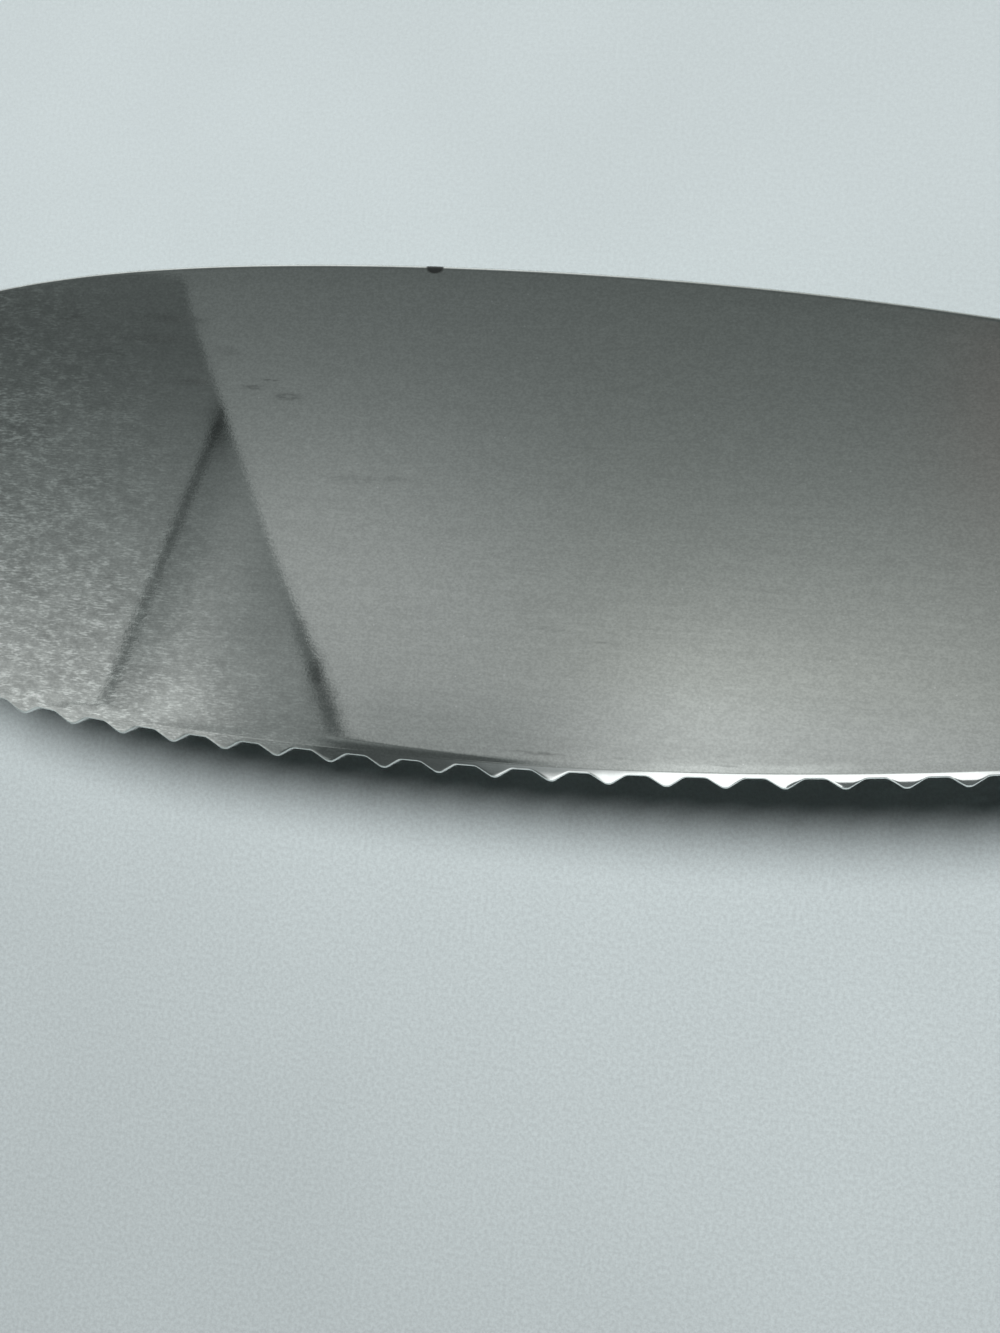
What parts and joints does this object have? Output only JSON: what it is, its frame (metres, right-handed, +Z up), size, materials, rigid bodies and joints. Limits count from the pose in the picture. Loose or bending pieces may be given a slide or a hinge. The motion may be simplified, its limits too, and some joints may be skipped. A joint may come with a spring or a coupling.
{
  "type": "sandwich spreader",
  "caption": "Hand spreader with a flat leaf-shaped steel blade, a scalloped edge and a riveted wooden handle, for spreading and cutting soft food.",
  "frame": {"origin": "middle of the box's footprint, on the plane that the handle rests on", "axes": "+X from the blade's tip to the butt, +Y from the scalloped edge to the spine, +Z up from the rest face"},
  "size_m": [0.235, 0.0318, 0.0168],
  "materials": {
    "blade_steel": "satin, grain along the blade",
    "handle_wood": "oiled, satin",
    "rivet_brass": "ground flush, satin"
  },
  "bodies": {
    "root": {"blade": "blade_steel", "upper_scale": "handle_wood", "lower_scale": "handle_wood", "front_rivet_socket": "rivet_brass", "middle_rivet_socket": "rivet_brass", "rear_rivet_socket": "rivet_brass", "front_rivet_post": "rivet_brass", "middle_rivet_post": "rivet_brass", "rear_rivet_post": "rivet_brass"}
  },
  "joints": []
}
